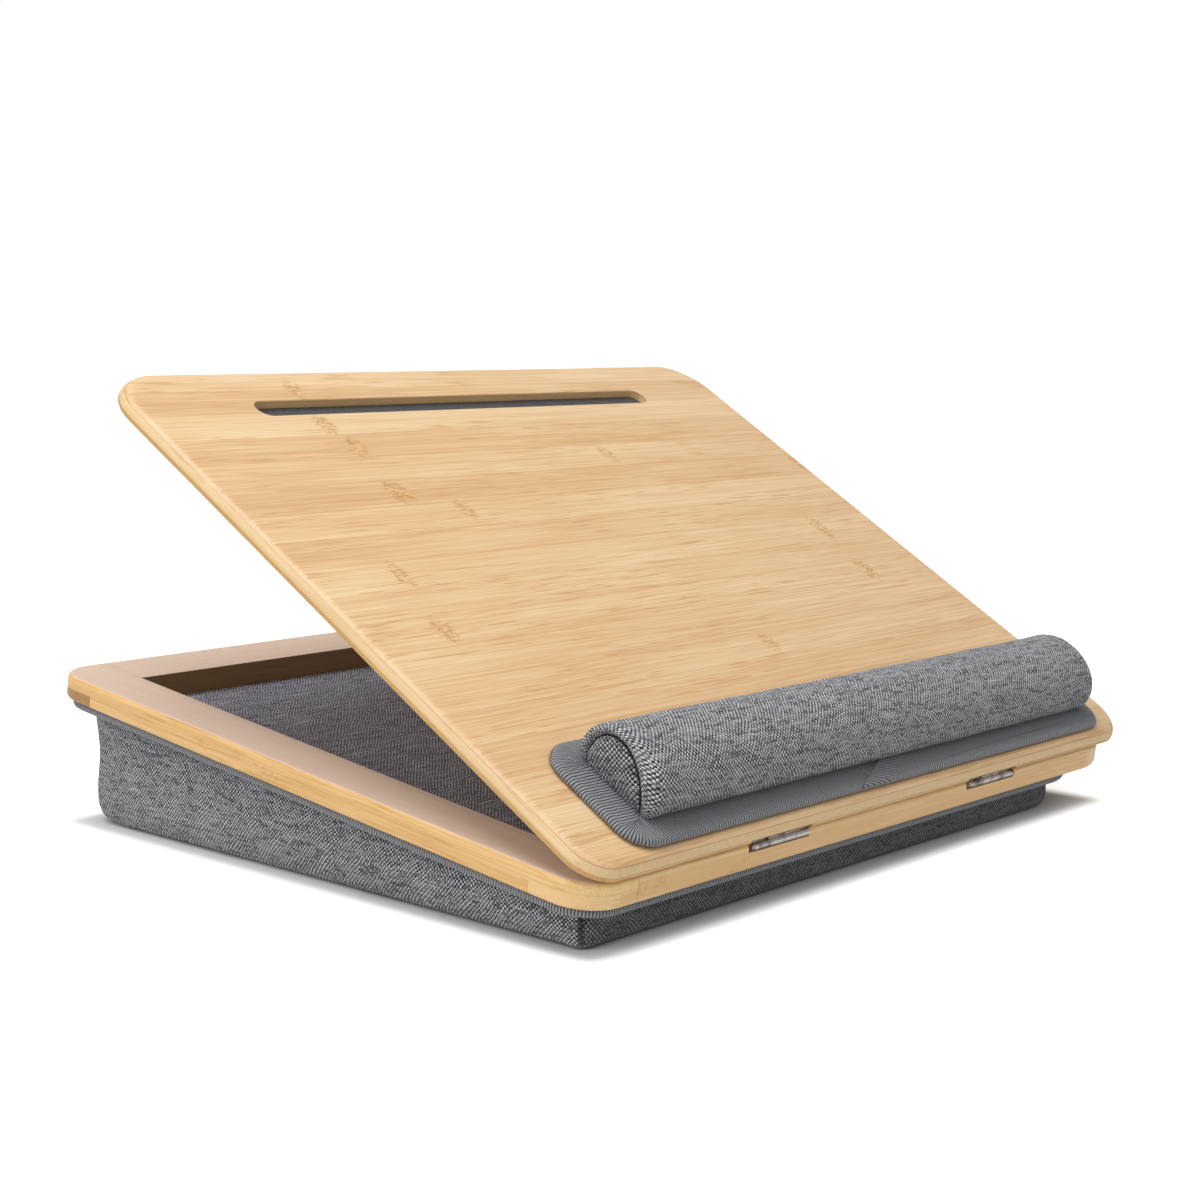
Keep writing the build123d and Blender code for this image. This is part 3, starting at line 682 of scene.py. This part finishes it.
def bandPiece(name, outline, stations, profile, place, material, lift=None):
    closed = profile + profile[:1]
    lengths = runOf(closed)
    bm, grid = gridPiece(len(stations), len(closed))

    def spotOf(r, c):
        inset, height = closed[r]
        spot = outline.inward(stations[c], inset)
        return Vector((spot.x, spot.y, height + (lift(spot, r) if lift else 0.0)))

    placeGrid(bm, grid, spotOf, lambda r, c: (stations[c][2], lengths[r]))
    return finishPiece(name, bm, place, [material])


padOutline = Outline((-217, 196, 3, 353), (47, 30, 20, 18))
lidTop = 7.45
wristFloor = lidTop + 0.4
wristOutline = Outline((-190.8, 196.2, 6.63, 71.83), (14, 14, 17, 14))


# ---- ribbed tape round the padded base ----
baseTape = bandPiece(
    "baseTape", padOutline, padOutline.stations(4.0, -60.0),
    [(9.0, -12.06), (1.2, -12.05), (0.2, -12.25), (-0.6, -12.9), (-0.95, -13.7), (-0.95, -14.6),
     (-0.5, -15.5), (0.3, -15.95), (1.2, -16.05), (9.0, -16.05), (9.0, -15.72), (1.4, -15.7),
     (0.7, -15.3), (0.55, -14.1), (0.7, -12.8), (1.4, -12.38), (9.0, -12.38)],
    deskScaled, fineTape)
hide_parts("base_binding")
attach(baseTape, "base")


# ---- tray's lining cloth, laid on the floor board ----
clothOutline = Outline((-216, 195, 4, 352), (46, 29, 29, 17))
window = Outline((-186, 186, 36, 320), (12, 12, 12, 12))


def flattenGrid(outline, columns, rows, crowd=0.0):  # grid spots inside an outline, crowded at its edge
    def ease(t):
        return (1 - crowd) * t + crowd * math.sin(math.pi * t / 2)

    width, depth = (outline.right - outline.left) / 2, (outline.back - outline.front) / 2
    middle = Vector((outline.left + width, outline.front + depth))

    def spot(r, c):
        u, v = ease(2 * c / (columns - 1) - 1), ease(2 * r / (rows - 1) - 1)
        return outline.roundOff(middle + Vector((u * width, v * depth)))
    return spot


tray = {"columns": 84, "rows": 72, "low": -12.43, "fade": 18, "rise": 0.16, "swell": 0.3, "thick": 0.4}
bm, grid = gridPiece(tray["columns"], tray["rows"])
clothSpot = flattenGrid(clothOutline, tray["columns"], tray["rows"])


def trayHeight(spot):
    inside = min(1.0, max(0.0, window.gap(spot)[0] / tray["fade"]))
    wave = ripple.noise((spot.x * 0.016, spot.y * 0.012, 3.1))
    wave += 0.45 * ripple.noise((spot.x * 0.05, spot.y * 0.03, 8.2))
    return tray["low"] + inside * max(0.0, tray["rise"] + tray["swell"] * wave)


def traySpot(r, c):
    spot = clothSpot(r, c)
    return Vector((spot.x, spot.y, trayHeight(spot)))


placeGrid(bm, grid, traySpot, lambda r, c: clothSpot(r, c))
bmesh.ops.recalc_face_normals(bm, faces=bm.faces)
bmesh.ops.solidify(bm, geom=bm.faces[:], thickness=tray["thick"])
trayCloth = finishPiece("trayCloth", bm, deskScaled, [lining])
cornerLoss = sum((1 - math.pi / 4) * radius ** 2 for centre, radius, inward in clothOutline.corners)
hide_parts("floor_cloth")
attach(trayCloth, "base")
print("base tape and tray cloth")


# ---- wedge cushion ----
cushion = {"columns": 50, "rows": 42, "layers": 8, "crowd": 0.55, "seat": -16.3, "bottomRound": 4.5,
           "tuck": 7.0, "tuckReach": 30, "air": 4.0, "swell": 3.0, "ripple": 0.5, "fade": 6,
           "crease": 1.8, "creaseReach": 5.0, "creaseOut": 6.5, "sewn": 1.0, "foot": 0.2}
cushionOutline = Outline((-209, 188, 11, 345), (39, 22, 17, 6))
seatSpot = flattenGrid(cushionOutline, cushion["columns"], cushion["rows"], cushion["crowd"])
bm, grid = gridPiece(cushion["columns"], cushion["rows"])
for r, row in enumerate(grid):
    for c, vert in enumerate(row):
        spot = seatSpot(r, c)
        vert.co = (spot.x, spot.y, 1.0)
under = bmesh.ops.extrude_face_region(bm, geom=bm.faces[:], use_keep_orig=True)
lowered = [item for item in under["geom"] if isinstance(item, bmesh.types.BMVert)]
bmesh.ops.translate(bm, verts=lowered, vec=(0, 0, -1))
uprights = [edge for edge in bm.edges if abs(edge.verts[0].co.z - edge.verts[1].co.z) > 0.5]
bmesh.ops.subdivide_edges(bm, edges=uprights, cuts=cushion["layers"] - 1)
tuckSpot = Vector((cushionOutline.left, cushionOutline.back))
for vert in bm.verts:
    spot, share = Vector(vert.co.xy), vert.co.z
    seat = deskPlace @ (Vector((spot.x, spot.y, cushion["seat"])) * mm) / mm
    height = seat.z * share
    toCorner = (spot - tuckSpot).length
    tuck = cushion["tuck"] * max(0.0, 1 - toCorner / cushion["tuckReach"])
    reach = min(cushion["bottomRound"] + tuck, 0.6 * seat.z)
    distance, outward = cushionOutline.gap(spot)
    across, down = (reach - distance) / reach, (reach - height) / reach
    if across > 0 and down > 0:                      # the square lower edge drawn in to a round one
        scale = max(across, down) / math.hypot(across, down)
        seat.xy += outward * (across * scale - across) * reach
        height += (down - down * scale) * reach
    vert.co = (seat.x, seat.y, height)
bmesh.ops.recalc_face_normals(bm, faces=bm.faces)
weave = bm.loops.layers.uv.new("weave")
upShift, frontShift = 0.5, 0.7                       # keep the panels' weaves from running into each other
for face in bm.faces:                                # the cover is cut in flat panels, joined at its corners
    facing = [abs(n) for n in face.normal]
    for loop in face.loops:
        x, y, z = loop.vert.co
        if facing[2] > 0.75:
            loop[weave].uv = (x * mm, y * mm)
        elif facing[0] > facing[1]:
            loop[weave].uv = (y * mm, z * mm + upShift)
        else:
            loop[weave].uv = (x * mm + frontShift, z * mm + upShift)
cushionCover = finishPiece("cushionCover", bm, Matrix.Scale(mm, 4), [heatherShadedCloth])
intoDesk = deskPlace.inverted()
held = {}
for vert in cushionCover.data.vertices:
    inDesk = intoDesk @ vert.co / mm
    if inDesk.z > cushion["seat"] - cushion["sewn"] or vert.co.z < cushion["foot"] * mm:
        held[vert.index] = 1.0
inflate(cushionCover, held, cushion["air"], cushion["swell"] * mm)
for vert in cushionCover.data.vertices:
    vert.co.z = max(vert.co.z, 0.0)
subdivide(cushionCover)
creaseSpot = cushionOutline.corners[3][0] + Vector((-1, -1)).normalized() * cushion["creaseOut"]
creaseY = (deskPlace @ Vector((0, creaseSpot.y * mm, 0))).y


def cushionRipple(spot, normal):
    inDesk = intoDesk @ spot / mm
    free = min(1.0, max(0.0, (cushion["seat"] - inDesk.z) / cushion["fade"]))
    free *= min(1.0, spot.z / mm / cushion["fade"])
    shift = cushion["ripple"] * (ripple.noise(spot * 22) + 0.5 * ripple.noise(spot * 60))
    near = math.hypot(inDesk.x - creaseSpot.x, (spot.y - creaseY) / mm)
    shift -= cushion["crease"] * max(0.0, 1 - near / cushion["creaseReach"])
    return normal * shift * free * mm


ruffle(cushionCover, cushionRipple)
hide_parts("cushion_cover", "cushion_core")
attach(cushionCover, "base")
print("cushion")


# ---- wrist rest: ribbed tape with its folded end, roll, stitches ----
pucker = {"middle": Vector((-180, 57)), "reach": 12.0, "height": 1.1, "folds": 9}


def wristLift(spot, r):
    off = spot - pucker["middle"]
    if off.length > pucker["reach"] or off.length < 0.1:
        return 0.0
    fade = (1 - off.length / pucker["reach"]) * min(1.0, off.length / 3)
    return pucker["height"] * fade * (0.5 + 0.5 * math.sin(pucker["folds"] * math.atan2(off.y, off.x)))


def lifted(profile):                                 # heights above the wrist rest's own underside
    return [(inset, wristFloor + height) for inset, height in profile]


tapeUnder = [(17.0, 0.02), (1.4, 0.0), (0.5, 0.2), (-0.15, 0.8), (-0.4, 1.6), (-0.2, 2.3)]
tapeTop = [(0.35, 2.85), (0.9, 3.35), (2.0, 3.5), (3.6, 3.45), (6.0, 3.3), (9.0, 3.22), (12.0, 3.18),
           (14.5, 3.16)]
tapeInside = [(17.5, 3.14), (20.0, 3.12), (23.0, 3.1), (23.0, 2.8), (9.0, 2.82), (2.0, 2.85), (1.0, 2.6),
              (0.7, 1.7), (0.8, 0.7), (1.4, 0.34), (17.0, 0.32)]
wristTape = bandPiece("wristTape", wristOutline, wristOutline.stations(2.5, -20.0),
                      lifted(tapeUnder + tapeTop + tapeInside), lidScaled, ribbedTape, wristLift)
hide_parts("wrist_binding")
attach(wristTape, "lid")

# the tape's end, cut on the slant and lapped over its start
lap = {"outer": -32.3, "inner": -0.2, "length": 26.0, "lift": 0.85, "droop": 0.2, "thick": 0.3, "columns": 14}
lapProfile = lifted([(0.2, 1.4), (-0.45, 2.1), (-0.1, 2.8)] + [(i + 0.1, h) for i, h in tapeTop[1:]])
bm, grid = gridPiece(lap["columns"], 2 * len(lapProfile) + 1)
lapRing = lapProfile + lapProfile[::-1] + lapProfile[:1]
lapRuns = runOf(lapRing)


def lapSpot(r, c):
    inset, height = lapRing[r]
    below = 1.0 if len(lapProfile) <= r < 2 * len(lapProfile) else 0.0
    share = max(0.0, inset) / lapProfile[-1][0]
    edge = lap["outer"] + (lap["inner"] - lap["outer"]) * share
    along = c / (lap["columns"] - 1)
    rise = lap["lift"] * (1 - along) ** 0.5 - lap["droop"] * along - lap["thick"] * below
    return Vector((edge + lap["length"] * along, wristOutline.front + inset, height + rise))


placeGrid(bm, grid, lapSpot, lambda r, c: (lapSpot(r, c).x * 0.35 + lapRuns[r] * 0.94, lapRuns[r]))
bmesh.ops.holes_fill(bm, edges=[edge for edge in bm.edges if edge.is_boundary], sides=0)
wristTapeEnd = finishPiece("wristTapeEnd", bm, lidScaled, [ribbedTape])
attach(wristTapeEnd, "lid")

roll = {"left": -176.0, "right": 188.0, "middle": 40.53, "floor": wristFloor + 3.34,
        "wide": 23.6, "tall": 18.3, "belly": 8.4, "panelWide": 17.6, "panelTall": 20.4, "lean": 0.3,
        "panel": 8.0, "foot": 7, "footInset": 2.4, "arc": 44, "flat": 14, "step": 4.0, "ringStep": 1.72,
        "sewnTo": 0.6, "seamTo": 19, "air": 4.0, "swell": 1.6, "ripple": 0.28, "fade": 4}
rimRings = [(9.0, 0.0), (6.0, -0.1), (4.0, -0.15), (2.4, 0.2), (1.2, 0.9), (0.35, 2.0), (0.0, 3.3),
            (0.5, 4.4), (1.8, 5.1), (2.4, 5.6)]
rimLong, rimDeep = rimRings[0][0], rimRings[-1][1]   # along the roll, and in from the cover's section
panelRings = [(1.5, 6.3), (0.6, 7.6), (-0.2, 9.4)]
panelScales = [(-1.0, 0.72), (-1.7, 0.45), (-2.1, 0.2), (-2.2, 0.0)]


def ringPoint(inset, index):                         # goes over from the cover's section to the panel's
    wide, tall = roll["wide"] - inset, roll["tall"] - inset
    low = math.asin(roll["belly"] / tall)
    panelWide, panelTall = roll["panelWide"] + rimDeep - inset, roll["panelTall"] + rimDeep - inset
    if index <= roll["arc"]:
        turn = -low + (math.pi + 2 * low) * index / roll["arc"]
        cover = Vector((wide * math.cos(turn), max(0.0, roll["belly"] + tall * math.sin(turn))))
        height = panelTall * math.sin(math.pi * index / roll["arc"])
        lean = roll["lean"] * height
        panel = Vector((panelWide * math.cos(math.pi * index / roll["arc"]) + lean, height))
    else:
        along = 2 * (index - roll["arc"]) / roll["flat"] - 1
        cover, panel = Vector((wide * math.cos(low) * along, 0)), Vector((panelWide * along, 0))
    return cover.lerp(panel, min(1.0, max(0.0, inset) / rimDeep))


ringCount = roll["arc"] + roll["flat"]
ends = [(distance, panelRings[-1][1], scale) for distance, scale in panelScales[::-1]]
ends += [(distance, inset, 1.0) for distance, inset in panelRings[::-1] + rimRings[::-1]]
span = roll["right"] - roll["left"] - 2 * rimLong
between = max(2, round(span / roll["step"]))
rings = [(roll["left"] + distance, inset, scale) for distance, inset, scale in ends]
rings += [(roll["left"] + rimLong + span * i / between, 0.0, 1.0) for i in range(1, between)]
rings += [(roll["right"] - distance, inset, scale) for distance, inset, scale in ends[::-1]]
panelRows = len(panelScales) + len(panelRings)
bm, grid = gridPiece(ringCount + 1, len(rings))


def rollSpot(r, c):
    x, inset, scale = rings[r]
    point = Vector((0, roll["panel"])).lerp(ringPoint(inset, c % ringCount), scale)
    low = max(0.0, 1 - point.y / roll["foot"])       # no rim where the end panel meets the tape
    clear = roll["footInset"] * low
    x = max(x, roll["left"] + clear) if x < 0 else min(x, roll["right"] - clear)
    return Vector((x, roll["middle"] + point.x, roll["floor"] + point.y))


rimRuns = runOf(rimRings)


def rollLaid(r, c):
    x, inset, scale = rings[r]
    if panelRows <= r < len(rings) - panelRows:
        fromLeft, fromRight = r - panelRows, len(rings) - panelRows - 1 - r
        if fromLeft < len(rimRings):
            x = roll["left"] + rimLong - rimRuns[len(rimRings) - 1 - fromLeft]
        elif fromRight < len(rimRings):
            x = roll["right"] - rimLong + rimRuns[len(rimRings) - 1 - fromRight]
        return (x, c * roll["ringStep"])
    spot = rollSpot(r, c)
    return (spot.y + 300, spot.z)


def rollSlot(r):                                     # cover, end panel, or the seam between them
    fromEnd = min(r, len(rings) - 2 - r)
    return 1 if fromEnd < panelRows - 1 else 2 if fromEnd == panelRows - 1 else 0


placeGrid(bm, grid, rollSpot, rollLaid, rollSlot)
wristRoll = finishPiece("wristRoll", bm, lidScaled, [heather, heatherCoarse, seamShadow])
held = {}
intoLid = lidPlace.inverted()
for vert in wristRoll.data.vertices:
    x, s, m = intoLid @ vert.co / mm
    fromEnd = min(x - roll["left"], roll["right"] - x)
    upright = abs(s - roll["middle"]) < roll["wide"] - 3.5 and m < roll["floor"] + roll["seamTo"]
    if m < roll["floor"] + roll["sewnTo"] or upright and 1.0 < fromEnd < 2.6:
        held[vert.index] = 1.0
inflate(wristRoll, held, roll["air"], roll["swell"] * mm)
subdivide(wristRoll)
lidUp = lidPlace.to_3x3() @ Vector((0, 0, 1))


def rollRipple(spot, normal):
    x, s, m = intoLid @ spot / mm
    free = min(1.0, max(0.0, (m - roll["floor"] - 0.5) / roll["fade"]))
    wave = ripple.noise((x * 0.03, s * 0.05, m * 0.05)) + 0.5 * ripple.noise((x * 0.1, s * 0.12, m * 0.12))
    return (normal * roll["ripple"] * wave * free + lidUp * max(0.0, roll["floor"] - m)) * mm


ruffle(wristRoll, rollRipple)
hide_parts("wrist_cover", "wrist_core", "wrist_end_left", "wrist_end_right")
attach(wristRoll, "lid")

# stitches along the front of the tape
stitch = {"pitch": 3.3, "size": (1.15, 0.3, 0.2), "above": 3.36, "fall": 0.02}
stitchLine = [Vector((-3.7, 8.73)), Vector((90.7, 12.13)), Vector((162.2, 13.03))]
bm = bmesh.new()
for first, second in zip(stitchLine, stitchLine[1:]):
    run = (second - first).length
    turn = math.atan2(second.y - first.y, second.x - first.x)
    for i in range(int(run / stitch["pitch"])):
        spot = first.lerp(second, i * stitch["pitch"] / run)
        height = wristFloor + stitch["above"] - stitch["fall"] * (spot.y - 8)
        where = Matrix.Translation((spot.x, spot.y, height)) @ Matrix.Rotation(turn, 4, "Z")
        shape = where @ Matrix.Diagonal((*stitch["size"], 1.0))
        bmesh.ops.create_uvsphere(bm, u_segments=8, v_segments=6, radius=1.0, matrix=shape)
wristStitches = finishPiece("wristStitches", bm, lidScaled, [stitchThread], weld=0.000001)
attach(wristStitches, "lid")
print("wrist rest")


# ---- floor, light, camera ----
footSides = ((0, -0.011, 0.199), (1, -0.001, 0.166))    # axis, middle and half length of the cushion's foot


def floorMaterial():
    material, tree, surface = startMaterial("white_floor")
    seen = put(tree, "ShaderNodeLightPath").outputs["Is Camera Ray"]
    spot = objectSpot(tree)
    away = vectorCalc(tree, "LENGTH", spot)["Value"]
    axes = axesOf(tree, spot)
    beside = []
    for axis, middle, half in footSides:
        off = calc(tree, "ABSOLUTE", minus(tree, axes[axis], middle))
        beside.append(calc(tree, "MAXIMUM", minus(tree, off, half), 0.0))
    foot = put(tree, "ShaderNodeCombineXYZ", {0: beside[0], 1: beside[1]}).outputs[0]
    fromFoot = vectorCalc(tree, "LENGTH", foot)["Value"]
    near = spread(tree, fromFoot, 0.0, 0.018, 0.0, 0.78)     # the shadow stays dark only beside the cushion
    glow = plus(tree, near, spread(tree, away, 0.35, 1.1, 0.0, 0.35))
    wire(tree, surface, {"Base Color": (0.8, 0.8, 0.8, 1), "Roughness": 0.6, "Specular IOR Level": 0.2,
                         "Emission Color": (1, 1, 1, 1), "Emission Strength": times(tree, seen, glow)})
    return material


bm = bmesh.new()
bmesh.ops.create_grid(bm, x_segments=2, y_segments=2, size=6.0)
bmesh.ops.translate(bm, verts=bm.verts, vec=(0, 0, -0.0004))
floor = finishPiece("floor", bm, Matrix.Identity(4), [floorMaterial()])

world = bpy.data.worlds.new("studio")
bpy.context.scene.world = world
world.use_nodes = True
tree = world.node_tree
path = put(tree, "ShaderNodeLightPath").outputs
direct = calc(tree, "MAXIMUM", path["Is Camera Ray"], path["Is Transmission Ray"])
strength = spread(tree, direct, 0.0, 1.0, 0.37, 1.0)
wire(tree, tree.nodes["Background"], {"Color": (1, 1, 1, 1), "Strength": strength})


def softbox(name, place, target, width, depth, power):
    light = bpy.data.lights.new(name, "AREA")
    light.shape = "RECTANGLE"
    light.size, light.size_y = width, depth
    light.energy = power
    box = addObject(name, light)
    box.location = place
    box.rotation_euler = (Vector(target) - Vector(place)).to_track_quat("-Z", "Y").to_euler()


softbox("key", (-0.5, 0.2, 2.1), (0, 0, 0.05), 1.3, 1.3, 28.5)
softbox("leftFill", (-1.7, 0.1, 0.9), (0, 0, 0.05), 1.2, 1.2, 11)
softbox("frontFill", (-0.2, -1.2, 1.8), (0, 0, 0.08), 1.5, 1.0, 7.5)

camera = addObject("camera", bpy.data.cameras.new("camera"))
camera.location = (-0.8533, -0.72634, 0.2578)
aim = Vector((0.75, 0.6479, -0.1329)).to_track_quat("-Z", "Y")
camera.rotation_euler = (aim @ Quaternion((0, 0, 1), math.radians(0.925))).to_euler()
camera.data.lens = 66.06
camera.data.sensor_width = 36.0
bpy.context.scene.camera = camera
bpy.context.scene.view_settings.view_transform = "Standard"
